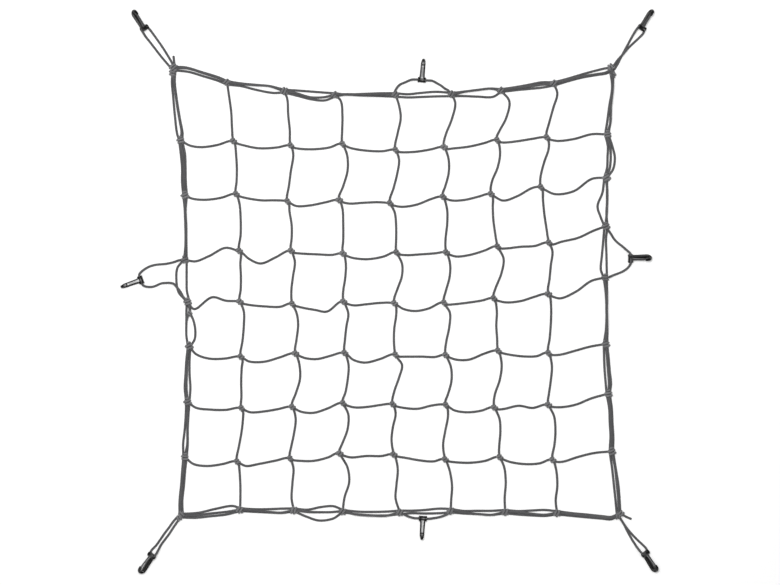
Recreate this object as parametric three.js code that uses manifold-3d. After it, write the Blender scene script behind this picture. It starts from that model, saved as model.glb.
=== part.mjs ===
// Elastic storage net: a square mesh of cords with a three-strand rim, knotted at every crossing,
// and eight snap hooks on loops of cord. It lies flat, as laid out on a table or a floor.
// Millimetres, +X to the right, +Y to the top edge, +Z up. It rests on z = 0, centred on the origin.
import * as THREE from 'three';
import { mergeVertices } from 'three/addons/utils/BufferGeometryUtils.js';
import Module from 'manifold-3d';

const wasm = await Module();
wasm.setup();

// Driving dimensions.
const CORD = 4.2;                    // cord diameter
const GAP = 0.3;                     // clearance between touching pieces
const LOW = CORD / 2;                // centre height of a cord that lies on the surface
const HIGH = LOW + CORD + GAP;       // centre height of a cord that lies on another cord
const TOP = HIGH + CORD + GAP;       // centre height of a third cord on those two
const PAIR = 3.2;                    // half the spacing of the outer and inner rim cords in a knot
const STEPS_MESH = 3;                // straight steps in each span of a mesh cord
const STEPS_RIM = 2;                 // straight steps in each span of a rim cord

// A cord's plain section, as shares of its diameter: first upwards, then sideways.
const SECTION = [[-0.5, -0.45], [-0.5, 0.45], [0.5, 0.45], [0.5, -0.45]];

// Knots: half the width at the foot, height, and the share of the width that is left at the top.
const KNOT = {
  mesh: { half: 6, height: 10.6, top: 0.72 },
  rim: { half: 7.2, height: 10.8, top: 0.78 },
  corner: { half: 7.6, height: 11.2, top: 0.8 },
  tie: { half: 4.6, height: 10.4, top: 0.8 },
};

// Hook, in its own plane: u runs from the eye to the bow, v towards the mouth, w along the eye.
const HOOK = {
  eye: { radius: 5.2, length: 15, bore: 3.3, sides: 10 },
  thickness: 8,
  spine: { back: -5.5, front: 0, root: -4.6 },
  bow: { u: 31.5, v: 2.4, outer: 7.9, inner: 3.2, seat: 2.4, steps: 3 },
  nose: { u: 26.5, outer: 10.1, inner: 5.9 },
  tongue: { rootU: 1.5, rootV: 3.9, tipU: 25.6, tipV: 8.6, thick: 1.6, width: 5 },
};

// The cord's way through an eye, as [u, w]: nearly straight for a loop beside the rim, and doubled
// back on a round of its own at a corner.
const EYE_PASS = [10, 8.2, 0, -8.2, -10].map((along) => [0, along]);
const EYE_ROUND = { radius: 7.5, lead: 1, steps: [90, 45, 0, -45, -90] };

const cordMaterial = new THREE.MeshStandardMaterial({ color: 0x4c4c4e, roughness: 0.85, metalness: 0 });
const hookMaterial = new THREE.MeshStandardMaterial({ color: 0x141415, roughness: 0.42, metalness: 0 });

// Knot places, from the top edge down, each row from left to right.
// The first and last rows and the first and last columns are on the rim.
// A third number is a height of its own, where the row's cord comes in over the inner rim strand.
const KNOTS = [
  [[-396, 412], [-298, 386], [-192, 370], [-98, 363], [14, 363], [118, 364], [209, 371], [307, 384], [414, 410]],
  [[-384, 279], [-286, 277], [-180, 269], [-84, 272], [14, 261], [104, 266], [202, 279], [294, 284], [406, 290]],
  [[-376, 177], [-281, 179], [-186, 166], [-90, 168], [4, 162], [102, 174], [191, 179], [283, 192], [404, 210]],
  [[-376, 58], [-275, 74], [-179, 74], [-83, 69], [16, 71], [108, 71], [203, 82], [298, 89], [403, 120]],
  [[-371, -20], [-274, -20], [-177, -24], [-82, -20], [12, -23], [104, -22], [196, -14], [297, -6], [402, 25]],
  [[-368, -102, HIGH], [-272, -122], [-171, -116], [-80, -115], [14, -118], [107, -119], [204, -111], [297, -115],
    [403, -98]],
  [[-371, -205], [-271, -217], [-177, -215], [-83, -208], [9, -210], [107, -211], [197, -216], [297, -211],
    [408, -190]],
  [[-376, -307], [-279, -316], [-181, -310], [-89, -301], [11, -303], [106, -312], [207, -308], [305, -313],
    [414, -297]],
  [[-383, -416], [-274, -405], [-174, -406], [-84, -408], [22, -410], [116, -407], [217, -409], [313, -411],
    [427, -415]],
];
const LAST = KNOTS.length - 1;

// Mesh cords between their knots: three places in each span. Rows run left to right, from the top.
const ROW_SPANS = [
  [[[-367, 269.5], [-346, 266.5], [-316, 270.5]], [[-270, 270.5], [-240, 264.5], [-205, 266]],
    [[-168, 264], [-140, 262.5], [-108, 266]], [[-68, 264.5], [-40, 260], [-10, 259]],
    [[27, 257], [52, 258], [80, 262.5]], [[120, 264], [150, 267.5], [180, 274.5]],
    [[215, 275], [240, 277.5], [268, 282]], [[314, 278], [344, 281.5], [378, 290.5]]],
  [[[-362, 171], [-338, 169], [-308, 173]], [[-264, 172.5], [-235, 168], [-208, 168]],
    [[-170, 157.5], [-145, 158.5], [-115, 164.5]], [[-72, 162], [-45, 163.5], [-18, 164.5]],
    [[25, 156], [53, 160], [80, 170.5]], [[120, 167.5], [143, 169], [168, 175]],
    [[213, 167.5], [240, 176], [266, 190.5]], [[309, 179.5], [344, 185], [377, 207.5]]],
  [[[-357, 55], [-331, 65], [-301, 80]], [[-258, 60], [-236, 51], [-208, 62.5]],
    [[-162, 69.5], [-132, 68], [-103, 67]], [[-66, 61.5], [-38, 59], [-8, 64]],
    [[34, 66.5], [62, 68], [88, 70]], [[126, 64], [152, 67], [180, 75.5]],
    [[220, 79], [246, 82], [272, 83.5]], [[322, 91.5], [352, 98.5], [380, 111.5]]],
  [[[-359, -33.5], [-326, -11.5], [-300, -18]], [[-258, -25.5], [-228, -28.5], [-199, -29]],
    [[-160, -30.5], [-135, -35], [-113, -38]], [[-64, -26.5], [-40, -24.5], [-15, -22]],
    [[28, -33], [50, -37], [76, -32]], [[122, -24.5], [148, -21.5], [174, -17.5]],
    [[218, -21], [246, -18.5], [270, -11]], [[319, -13.5], [349, -0.5], [376, 18.5]]],
  [[[-356, -116.5], [-332, -125], [-302, -125]], [[-257, -130.5], [-230, -131], [-201, -123]],
    [[-154, -124], [-132, -126], [-107, -120]], [[-65, -127], [-43, -132.5], [-15, -126]],
    [[36, -121.5], [62, -121.5], [88, -122]], [[126, -127], [150, -127], [178, -116]],
    [[223, -117.5], [250, -121], [276, -120.5]], [[318, -118], [345, -111], [374, -103]]],
  [[[-356, -216], [-330, -219.5], [-300, -220]], [[-255, -224.5], [-230, -223], [-203, -218.5]],
    [[-161, -223.5], [-138, -225.5], [-111, -217]], [[-62, -215.5], [-38, -214.5], [-14, -211]],
    [[30, -216.5], [55, -218], [81, -212]], [[123, -221], [146, -224.5], [173, -221.5]],
    [[214, -218.5], [242, -212.5], [268, -216.5]], [[322, -215], [349, -210], [376, -199]]],
  [[[-361, -320], [-335, -324], [-307, -320.5]], [[-263, -324], [-238, -320], [-208, -314]],
    [[-162, -314.5], [-138, -314.5], [-111, -308]], [[-69, -308], [-40, -305.5], [-12, -305.5]],
    [[33, -309], [58, -313.5], [84, -315.5]], [[124, -317], [152, -318], [180, -314.5]],
    [[226, -316.5], [254, -320.5], [281, -319]], [[324, -316], [351, -307.5], [382, -300]]],
];

// Columns run from the top edge down, from the left.
const COLUMN_SPANS = [
  [[[-295, 365], [-290.5, 332], [-289, 303]], [[-281.5, 254], [-280, 228], [-280.5, 203]],
    [[-275, 161], [-273, 136], [-273, 104]], [[-273.5, 52], [-272.5, 27], [-273, 2]],
    [[-267, -38], [-267, -63], [-269.5, -92]], [[-271, -143], [-272, -170], [-271.5, -195]],
    [[-268.5, -235], [-271, -259], [-276, -287]], [[-275, -333], [-273.5, -360], [-273.5, -386]]],
  [[[-186.5, 355], [-185, 328], [-182, 298]], [[-175.5, 250], [-180, 222], [-183.5, 195]],
    [[-182.5, 148], [-178.5, 122], [-178.5, 98]], [[-172.5, 53], [-176, 27], [-179, 2]],
    [[-169, -42], [-166.5, -62], [-169.5, -90]], [[-164, -137], [-163, -162], [-171, -190]],
    [[-171, -238], [-174, -263], [-179, -287]], [[-175, -330], [-177, -355], [-178.5, -386]]],
  [[[-87.5, 352], [-84.5, 325], [-85, 296]], [[-75.5, 250], [-75, 223], [-83.5, 193]],
    [[-84, 150], [-83, 122], [-83, 95]], [[-78, 47], [-79.5, 23], [-83, 0]],
    [[-73.5, -42], [-77, -65], [-80, -92]], [[-73, -138], [-74.5, -162], [-79, -188]],
    [[-73.5, -229], [-75, -256], [-85, -283]], [[-75, -327], [-72, -354], [-80.5, -382]]],
  [[[20, 345], [23.5, 321], [18, 293]], [[20.5, 242], [16.5, 215], [10, 190]],
    [[12.5, 145], [15, 120], [15, 95]], [[26, 50], [25.5, 27], [17.5, 4]],
    [[15, -45], [11.5, -70], [11, -95]], [[26, -137], [20.5, -160], [11.5, -186]],
    [[14, -229], [9, -252], [6.5, -276]], [[18, -330], [15.5, -360], [14, -384]]],
  [[[124.5, 348], [118, 318], [107, 290]], [[112, 245], [112.5, 220], [106, 194]],
    [[109.5, 150], [109.5, 124], [106.5, 96]], [[115, 49], [114, 26], [107, 0]],
    [[114.5, -40], [113.5, -66], [108, -93]], [[116.5, -141], [117.5, -166], [111, -191]],
    [[111, -232], [106, -259], [102, -285]], [[114.5, -334], [118.5, -361], [117, -386]]],
  [[[224.5, 352], [219, 321], [206, 296]], [[207.5, 254], [203, 229], [192.5, 203]],
    [[194, 156], [195, 132], [198.5, 106]], [[214, 60], [210, 33], [199, 5]],
    [[201.5, -38], [200.5, -64], [202, -88]], [[210.5, -138], [206.5, -166], [198, -191]],
    [[206.5, -237], [208, -261], [206, -286]], [[215.5, -328], [218, -355], [216, -384]]],
  [[[313.5, 366], [306, 339], [298, 310]], [[297.5, 264], [289, 238], [282.5, 212]],
    [[287, 168], [289.5, 142], [294, 112]], [[304.5, 72], [301.5, 48], [299, 22]],
    [[302, -30], [301.5, -60], [299, -90]], [[303.5, -140], [301.5, -165], [298, -190]],
    [[307.5, -232], [310, -259], [308, -286]], [[312, -335], [313.5, -361], [310.5, -388]]],
];

// Rim: an outer, an inner and a hook strand on each side. The top and bottom run left to right,
// and the left and right run from the top down. A third number is a height of its own.
const RIM = {
  top: {
    outward: [0, 1],
    outer: [[[-374, 414], [-345, 405.5], [-313, 395.5]], [[-272, 384.5], [-246, 382], [-219, 379.5]],
      [[-170, 371.5], [-144, 369.5], [-118, 367.5]], [[-80, 364], [-52, 364.8], [-14, 366.2]],
      [[36, 364.5], [62, 367], [90, 369]], [[142, 369.5], [166, 372.5], [190, 375]],
      [[232, 377], [258, 381.5], [284, 386.5]], [[335, 394], [360, 401.5], [388, 409], [402, 412.3]]],
    inner: [[[-368, 405.5], [-343, 398], [-318, 390.5]], [[-272, 379.5], [-244, 372.5], [-214, 367]],
      [[-168, 361.5], [-142, 355], [-117, 353]], [[-80, 363.2, HIGH], [-52, 362, HIGH], [-14, 361]],
      [[38, 358.5], [64, 359.5], [92, 360.5]], [[138, 361], [166, 360], [194, 359.5]],
      [[233, 371.5], [258, 374], [284, 376.5]], [[335, 389], [361, 395.7], [388, 400.3], [403, 402.6]]],
    hook: [[[-372, 412], [-340, 402.5], [-313, 393.5]], [[-272, 383], [-246, 381], [-219, 379]],
      [[-173, 367], [-143, 358.5], [-118, 359]], [[-80, 363.6, TOP], [-52, 363.4, TOP], [-14, 363.8]],
      null,
      [[140, 368.5], [166, 372], [190, 374.5]], [[233, 375], [258, 378], [284, 382]],
      [[335, 391.5], [360, 397], [388, 401.5], [402, 404]]],
    loop: {
      out: [[12, 367], [14, 372, 5.6], [17, 377, 3.4], [22, 382, LOW], [33, 387, LOW], [43, 391, 3.2]],
      back: [[82, 389, 3.2], [90, 385, LOW], [98, 380.5, LOW], [105, 374.8, 3], [111, 371.4, 5.4]],
    },
  },
  bottom: {
    outward: [0, -1],
    outer: [[[-357, -420], [-328, -417], [-300, -414]], [[-249, -408.8], [-223, -410], [-197, -411]],
      [[-152, -417.5], [-128, -425], [-102, -421.5]], [[-58, -413.5], [-30, -415.5], [-2, -415.5]],
      [[43, -411.5], [68, -412], [94, -411.5]], [[140, -412], [166, -413], [192, -414.5]],
      [[241, -414], [265, -415.5], [290, -416.5]],
      [[341, -416.5], [370, -419.2], [396, -421.4], [414, -422.6]]],
    inner: [[[-350, -410.5], [-320, -403.5], [-288, -398]], [[-249, -404], [-223, -404], [-197, -403]],
      [[-150, -405], [-124, -400], [-101, -398.5]], [[-56, -408.5], [-30, -409], [-4, -408.5]],
      [[44, -406.8], [68, -405.5], [94, -403]], [[140, -407.2], [166, -407], [192, -407]],
      [[241, -407.5], [265, -406.5], [290, -405.5]], [[341, -411.4], [370, -414.1], [396, -416.8], [413, -418]]],
    hook: [[[-353, -415], [-328, -412], [-300, -409]], [[-249, -406.5], [-223, -408.5], [-197, -410]],
      [[-150, -408.5, 5.8], [-128, -409.5, LOW], [-106, -409.5, LOW]],
      [[-58, -413.5], [-30, -415.5], [-2, -415.5]],
      null,
      [[140, -410], [166, -412.5], [192, -414]], [[241, -409], [265, -412], [290, -414]],
      [[341, -414], [370, -416.6], [396, -419], [413, -420.2]]],
    loop: {
      out: [[28, -412.5], [35.5, -416.3, 5.6], [43, -419, 3.2], [50, -420.5, 3.4]],
      back: [[80, -421, 3.4], [91, -419.5, LOW], [98.5, -417.5, 3], [106, -414.5, 5.6], [111, -412]],
    },
  },
  left: {
    outward: [-1, 0],
    outer: [[[-400.2, 392], [-398, 360], [-394.8, 325], [-391, 293]], [[-384, 255], [-381.5, 228], [-381.5, 203]],
      [[-376.4, 150], [-375.4, 120], [-375, 88]], [[-390, 43], [-392, 22], [-388, -2]],
      [[-373.5, -40], [-373.5, -60], [-373.5, -82]], [[-373.5, -128], [-375, -153], [-376.5, -180]],
      [[-374.6, -228], [-376.5, -256], [-379.5, -283]], [[-381, -330], [-383, -357], [-386, -388]]],
    inner: [[[-395, 390], [-391.5, 357], [-386, 322], [-380.5, 292]], [[-376, 254], [-375, 230], [-374.5, 202]],
      [[-374.6, 150, HIGH], [-373.4, 120, HIGH], [-373.2, 88, HIGH]], [[-373, 38], [-373, 18], [-372.5, 0]],
      [[-365.6, -42], [-360.5, -54], [-357, -72], [-358, -89]], [[-367.5, -128], [-367.5, -153], [-366, -180]],
      [[-369.6, -230], [-371, -256], [-371, -283]], [[-375.5, -330], [-378, -360], [-381, -390]]],
    hook: [[[-395.8, 388], [-391.5, 352], [-386, 318], [-382, 293]], [[-380, 255], [-377.5, 228], [-377.5, 202]],
      [[-375.5, 150, TOP], [-374.4, 120, TOP], [-374.2, 88, TOP]],
      null,
      null,
      [[-371.5, -125], [-372.5, -155], [-373, -180]], [[-370.6, -229], [-371.2, -256], [-371.4, -283]],
      [[-378, -330], [-380.5, -358], [-383.5, -389]]],
    loop: {
      out: [[-382, 57.5], [-388, 56.5, 4.6], [-395, 54, LOW], [-410, 50.5, LOW], [-430, 48.5, LOW],
        [-440, 46, LOW], [-448, 42, 2.6], [-455, 37, 3.6]],
      back: [[-449, 8.4, 3.6], [-440, 7.5, LOW], [-433, 8.5, LOW], [-420, 14, LOW], [-411, 15, LOW],
        [-403, 15, 3.4], [-397, 13.5, 6], [-392, 8.5], [-385, 0], [-378, -12]],
    },
  },
  right: {
    outward: [1, 0],
    outer: [[[416.2, 378], [412.6, 343], [411.6, 312]], [[415.5, 268], [420, 247], [417, 226]],
      [[405.5, 187], [405.5, 165], [404.5, 142]], [[403.7, 97], [404.5, 68], [405, 42]],
      [[405.5, 0], [404.4, -36], [406.2, -70]], [[408.5, -123], [410.5, -147], [413, -172]],
      [[414.4, -217], [415.6, -243], [417.2, -270]], [[421.5, -327], [426.3, -357], [428.8, -386]]],
    inner: [[[414.6, 378, HIGH], [409.4, 342, 5.5], [405.6, 312]], [[407, 268], [406.5, 249], [405.5, 228]],
      [[397, 182], [388, 157], [394.5, 135]], [[398.8, 97], [396, 65], [394, 40]],
      [[402.6, -3, HIGH], [404.2, -36, HIGH], [403.2, -70, HIGH]], [[400, -120], [401, -145], [403, -170]],
      [[409.5, -217], [410.6, -243], [412, -270]], [[415, -329], [418, -357], [421, -385]]],
    hook: [[[415.4, 378, TOP], [412, 343, 9.7], [411.4, 312]], [[411, 268], [412.5, 249], [410.5, 228]],
      [[405.5, 187], [405.5, 165], [404.5, 142]],
      null,
      [[404.2, -2, TOP], [404.3, -36, TOP], [404.8, -70, TOP]], [[405, -120], [407, -146], [409, -172]],
      [[412, -217], [413, -243], [414.6, -270]], [[420, -327], [423, -355], [426, -385]]],
    loop: {
      out: [[406, 115], [409.6, 109.5, 5.6], [413.5, 104, 3], [418, 97, LOW], [424, 90.5, LOW],
        [433, 83, 3.8], [441, 75.5, 8.6]],
      back: [[444, 43, 3.4], [436, 37, LOW], [430, 34, LOW], [422, 31, LOW], [414, 28, 3.2],
        [408, 25.4, 6]],
    },
  },
};

// Where the hook strand of the left side is tied off: the tie knot and the free end after it.
const TIE = { knot: [-367, -41], lead: [-368, -30], tail: [[-371, -48], [-372.5, -54], [-373.5, -60]] };

// Corner loops, out to the hook and back, and the free cord ends that two corner knots have.
const CORNERS = {
  top_left: {
    out: [[-402.5, 413.5], [-410.5, 422.8], [-420.8, 435], [-430.8, 448], [-440.5, 460.5], [-448, 470, 5.4]],
    back: [[-431, 470.5], [-420, 455], [-410, 439.5], [-402, 426], [-398, 418]],
    tail: [[-395.5, 416], [-396.2, 425], [-397.2, 434.5]],
  },
  top_right: {
    out: [[419, 410], [425, 420], [430, 430], [435, 439.5], [440, 449], [445, 458], [450, 467.5, 2.8],
      [455, 476.5, 6]],
    back: [[466, 470, 3], [456, 460.5], [447, 452], [440, 444.5, 4.8],
      [434.5, 438, HIGH], [429, 432, 4.8], [424, 426], [417, 416]],
    tail: null,
  },
  bottom_left: {
    out: [[-389, -417], [-397, -426], [-406, -438.5], [-414, -449], [-421.5, -460], [-429, -470.5]],
    back: [[-424.6, -478.5, 8.4], [-420.5, -470.5, 3.6], [-414, -461.5], [-406, -451],
      [-398.5, -439.5], [-392, -430], [-386, -421]],
    tail: null,
  },
  bottom_right: {
    out: [[429, -420], [434, -427.5], [438.5, -435], [441.5, -441.5], [446, -450], [451, -459],
      [456, -467, 3.4], [461.5, -475.5, 8]],
    back: [[471, -469.5, 2.6], [463.5, -462.5], [457, -456], [450, -448.5], [444, -441.5, 4.8],
      [439, -435, HIGH], [434, -427.5, HIGH], [430, -421, HIGH]],
    tail: [[432, -412.5], [437, -416], [443, -419], [450, -422]],
  },
};

// Hooks: eye centre, the way the bow points, the roll of its plane from upright, and the side
// that the mouth leans to: 1 is left of the way that the bow points, -1 is right.
const HOOKS = [
  { name: 'top_left', x: -450.5, y: 486, heading: 124.7, roll: 28, lean: -1 },
  { name: 'top', x: 62.5, y: 390.5, heading: 85, roll: 0, lean: 1 },
  { name: 'top_right', x: 469.5, y: 486.5, heading: 60, roll: 15, lean: -1 },
  { name: 'left', x: -457.5, y: 20.5, heading: 199.6, roll: 0, lean: 1 },
  { name: 'right', x: 448.5, y: 60, heading: 3.6, roll: 28, lean: -1 },
  { name: 'bottom_left', x: -437, y: -489, heading: 238, roll: 42, lean: -1 },
  { name: 'bottom', x: 64.5, y: -421, heading: 267, roll: 0, lean: 1 },
  { name: 'bottom_right', x: 476, y: -485.5, heading: 300, roll: 36, lean: 1 },
];

// A cord's centre line through its own places, with the section kept upright all along.
class CordLine extends THREE.Curve {
  constructor(points) {
    super();
    this.points = points;
  }

  getPoint(t, target = new THREE.Vector3()) {
    const place = t * (this.points.length - 1);
    const index = Math.min(Math.floor(place), this.points.length - 2);
    return target.lerpVectors(this.points[index], this.points[index + 1], place - index);
  }

  getPointAt(u, target) {
    return this.getPoint(u, target);
  }

  computeFrenetFrames() {
    const frames = { tangents: [], normals: [], binormals: [] };
    const last = this.points.length - 1;
    this.points.forEach((point, index) => {
      const before = this.points[Math.max(index - 1, 0)];
      const after = this.points[Math.min(index + 1, last)];
      const arriving = point.clone().sub(before).normalize();
      const leaving = after.clone().sub(point).normalize();
      const tangent = arriving.add(leaving).normalize();
      const normal = new THREE.Vector3(0, 0, 1).addScaledVector(tangent, -tangent.z).normalize();
      frames.tangents.push(tangent);
      frames.normals.push(normal);
      frames.binormals.push(tangent.clone().cross(normal));
    });
    return frames;
  }
}

function toSolid(geometry) {
  geometry.deleteAttribute('normal');
  geometry.deleteAttribute('uv');
  const merged = mergeVertices(geometry);
  return new wasm.Manifold(new wasm.Mesh({
    numProp: 3,
    vertProperties: merged.attributes.position.array,
    triVerts: Uint32Array.from(merged.index.array),
  }));
}

function toMesh(name, solid, material) {
  const { vertProperties, triVerts } = solid.getMesh();
  const geometry = new THREE.BufferGeometry();
  geometry.setAttribute('position', new THREE.BufferAttribute(vertProperties, 3));
  geometry.setIndex(new THREE.BufferAttribute(triVerts, 1));
  geometry.computeVertexNormals();
  const mesh = new THREE.Mesh(geometry, material);
  mesh.name = name;
  return mesh;
}

function joined(solids) {
  return solids.reduce((whole, solid) => whole.add(solid));
}

// Cuts room for the neighbours, and drops the crumbs that are left between two side by side.
function cleared(solid, cutters) {
  const rest = cutters.reduce((left, cutter) => left.subtract(cutter), solid);
  return rest.decompose().reduce((best, part) => (part.volume() > best.volume() ? part : best));
}

// A hand-chosen place as a point, at its own height or at the one given.
function place([x, y, own], height) {
  return new THREE.Vector3(x, y, own ?? height);
}

function tube(points, diameter = CORD) {
  const section = new THREE.Shape(SECTION.map(([up, side]) => new THREE.Vector2(up * diameter, side * diameter)));
  const extrudePath = new CordLine(points);
  return toSolid(new THREE.ExtrudeGeometry(section, { steps: points.length - 1, extrudePath }));
}

function tunnel(points) {
  return tube(points, CORD + 2.2 * GAP);
}

// A four-sided knot that narrows upwards, with its sides across the cords.
function lump([x, y], { half, height, top }, extra = 0) {
  const foot = (half + extra) * Math.SQRT2;
  const geometry = new THREE.CylinderGeometry(foot * top, foot, height + extra, 4);
  geometry.rotateX(Math.PI / 2);
  geometry.rotateZ(Math.PI / 4);
  geometry.translate(x, y, (height + extra) / 2);
  return toSolid(geometry);
}

// A smooth line through knots and spans, taken in equal steps of each span.
function smoothed(points, spans, steps) {
  const line = new THREE.CatmullRomCurve3(points, false, 'centripetal').getPoints(spans * steps);
  line.forEach((point) => point.setZ(Math.max(point.z, LOW)));
  return line;
}

function strand(knots, spans, knotHeight) {
  return knots.flatMap((knot, index) => [
    place(knot, knotHeight),
    ...(spans[index] ?? []).map((spot) => place(spot, LOW)),
  ]);
}

function rowLine(index) {
  return smoothed(strand(KNOTS[index + 1], ROW_SPANS[index], LOW), LAST, STEPS_MESH);
}

function columnLine(index) {
  const knots = KNOTS.map((row) => row[index + 1]);
  const points = strand(knots, COLUMN_SPANS[index], HIGH + GAP);
  points[0].z = LOW;
  points[points.length - 1].z = LOW;
  return smoothed(points, LAST, STEPS_MESH);
}

function rimKnots(side) {
  if (side === 'top') return KNOTS[0];
  if (side === 'bottom') return KNOTS[LAST];
  const column = side === 'left' ? 0 : LAST;
  return KNOTS.map((row) => row[column]);
}

// The outer and inner strands pass each knot side by side.
function edgeLine(side, which) {
  const shift = which === 'outer' ? PAIR : -PAIR;
  const [outX, outY] = RIM[side].outward;
  const knots = rimKnots(side).map(([x, y]) => [x + shift * outX, y + shift * outY]);
  return smoothed(strand(knots, RIM[side][which], LOW), LAST, STEPS_RIM);
}

// A hook in its own plane, with the eye's axis through the origin.
function hookSolid() {
  const { eye, spine, bow, nose, tongue, thickness } = HOOK;
  const body = new THREE.Shape();
  body.moveTo(0, spine.root);
  body.lineTo(bow.u, spine.back);
  body.absarc(bow.u, bow.v, bow.outer, -Math.PI / 2, Math.PI / 2, false);
  body.lineTo(nose.u, nose.outer);
  body.lineTo(nose.u, nose.inner);
  // The inside of the bow is a flat seat between two quarter rounds.
  const round = bow.inner - bow.seat / 2;
  body.absarc(bow.u + bow.inner - round, bow.v + bow.seat / 2, round, Math.PI / 2, 0, true);
  body.absarc(bow.u + bow.inner - round, bow.v - bow.seat / 2, round, 0, -Math.PI / 2, true);
  body.lineTo(0, spine.front);
  const bodySolid = new THREE.ExtrudeGeometry(body, {
    depth: thickness, bevelEnabled: false, curveSegments: bow.steps,
  }).translate(0, 0, -thickness / 2);
  const blade = new THREE.Shape();
  blade.moveTo(tongue.rootU, tongue.rootV);
  blade.lineTo(tongue.rootU + 2, tongue.rootV - tongue.thick);
  blade.lineTo(tongue.tipU, tongue.tipV - tongue.thick);
  blade.lineTo(tongue.tipU, tongue.tipV);
  const bladeSolid = new THREE.ExtrudeGeometry(blade, { depth: tongue.width, bevelEnabled: false })
    .translate(0, 0, -tongue.width / 2);
  const barrel = new THREE.CylinderGeometry(eye.radius, eye.radius, eye.length, eye.sides).rotateX(Math.PI / 2);
  const bore = new THREE.CylinderGeometry(eye.bore, eye.bore, eye.length + 2, eye.sides).rotateX(Math.PI / 2);
  return joined([bodySolid, bladeSolid, barrel].map(toSolid)).subtract(toSolid(bore));
}

function eyeRound() {
  const { radius, lead, steps } = EYE_ROUND;
  return steps.map(THREE.MathUtils.degToRad)
    .map((turn) => [lead - radius * (1 - Math.cos(turn)), radius * Math.sin(turn)]);
}

// Turns a hook to the way it lies and sets it down on the surface.
function layHook({ name, x, y, heading, roll, lean }) {
  const turn = THREE.MathUtils.degToRad(heading);
  const tilt = THREE.MathUtils.degToRad(roll);
  const along = new THREE.Vector3(Math.cos(turn), Math.sin(turn), 0);
  const side = new THREE.Vector3(-Math.sin(turn), Math.cos(turn), 0);
  const mouth = side.multiplyScalar(lean * Math.sin(tilt)).add(new THREE.Vector3(0, 0, Math.cos(tilt)));
  const axis = along.clone().cross(mouth);
  const basis = new THREE.Matrix4().makeBasis(along, mouth, axis);
  const turned = hookSolid().transform(basis.elements);
  const rise = -turned.boundingBox().min[2];
  const eye = new THREE.Vector3(x, y, rise);
  const pass = name in CORNERS ? eyeRound() : EYE_PASS;
  const eyeLine = pass.map(([u, w]) => eye.clone().addScaledVector(along, u).addScaledVector(axis, w));
  return { name, solid: turned.translate([x, y, rise]), eyeLine };
}

// The cord goes in at the end of the eye that it comes to first, and out at the other.
function throughEye({ eyeLine }, out, back) {
  const arrival = out.at(-1);
  const forwards = eyeLine.at(0).distanceTo(arrival) < eyeLine.at(-1).distanceTo(arrival);
  return [...out, ...(forwards ? eyeLine : eyeLine.toReversed()), ...back];
}

function rimLoop(side, hook) {
  const knots = rimKnots(side);
  const index = RIM[side].hook.indexOf(null);
  const out = [knots[index], ...RIM[side].loop.out].map((spot) => place(spot, HIGH));
  const back = [...RIM[side].loop.back, knots[index + 1]].map((spot) => place(spot, HIGH));
  return throughEye(hook, out, back);
}

// The part of a hook strand over the spans from first to before last.
function hookStretch(side, first, last) {
  const knots = rimKnots(side).slice(first, last + 1);
  const spans = RIM[side].hook.slice(first, last);
  const points = knots.flatMap((knot, index) => [knot, ...(spans[index] ?? [])]);
  return smoothed(points.map((spot) => place(spot, HIGH)), last - first, STEPS_RIM);
}

// A hook strand is the whole side. On the left it is tied off below its loop, and starts again lower.
function hookLines(side, hook) {
  const loopAt = RIM[side].hook.indexOf(null);
  const before = hookStretch(side, 0, loopAt);
  const loop = rimLoop(side, hook);
  if (side !== 'left') {
    return [[...before.slice(0, -1), ...loop, ...hookStretch(side, loopAt + 1, LAST).slice(1)]];
  }
  const tail = [TIE.lead, TIE.knot, ...TIE.tail].map((spot) => place(spot, HIGH));
  return [[...before.slice(0, -1), ...loop, ...tail], hookStretch(side, loopAt + 2, LAST)];
}

const SIDES = ['top', 'bottom', 'left', 'right'];
const CORNER_KNOTS = {
  top_left: KNOTS[0][0], top_right: KNOTS[0][LAST],
  bottom_left: KNOTS[LAST][0], bottom_right: KNOTS[LAST][LAST],
};

const hooks = HOOKS.map(layHook);
const hookNamed = (name) => hooks.find((hook) => hook.name === name);
const rows = ROW_SPANS.map((_, index) => rowLine(index));
const columns = COLUMN_SPANS.map((_, index) => columnLine(index));
const rim = Object.fromEntries(SIDES.map((side) => [side, {
  outer: edgeLine(side, 'outer'),
  inner: edgeLine(side, 'inner'),
  hook: hookLines(side, hookNamed(side)),
}]));
const cornerRoom = Object.values(CORNER_KNOTS).map((knot) => lump(knot, KNOT.corner, GAP));

function rimTunnels(sides) {
  return sides.flatMap((side) => [rim[side].outer, rim[side].inner, ...rim[side].hook].map(tunnel));
}

const net = new THREE.Group();

function addCord(name, solid) {
  net.add(toMesh(name, solid, cordMaterial));
}

// Row cords carry the knots of the mesh, and their end knots wrap the side rims.
const columnTunnels = columns.map(tunnel);
const sideTunnels = rimTunnels(['left', 'right']);
rows.forEach((line, index) => {
  const knots = KNOTS[index + 1];
  const lumps = knots.map((knot, at) => lump(knot, at % LAST === 0 ? KNOT.rim : KNOT.mesh));
  addCord(`row_cord_${index + 1}`, cleared(joined([tube(line), ...lumps]), [...columnTunnels, ...sideTunnels]));
});

// Column cords pass through those knots, and their end knots wrap the top and bottom rims.
const endTunnels = rimTunnels(['top', 'bottom']);
columns.forEach((line, index) => {
  const lumps = [KNOTS[0][index + 1], KNOTS[LAST][index + 1]].map((knot) => lump(knot, KNOT.rim));
  addCord(`column_cord_${index + 1}`, cleared(joined([tube(line), ...lumps]), endTunnels));
});

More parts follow.
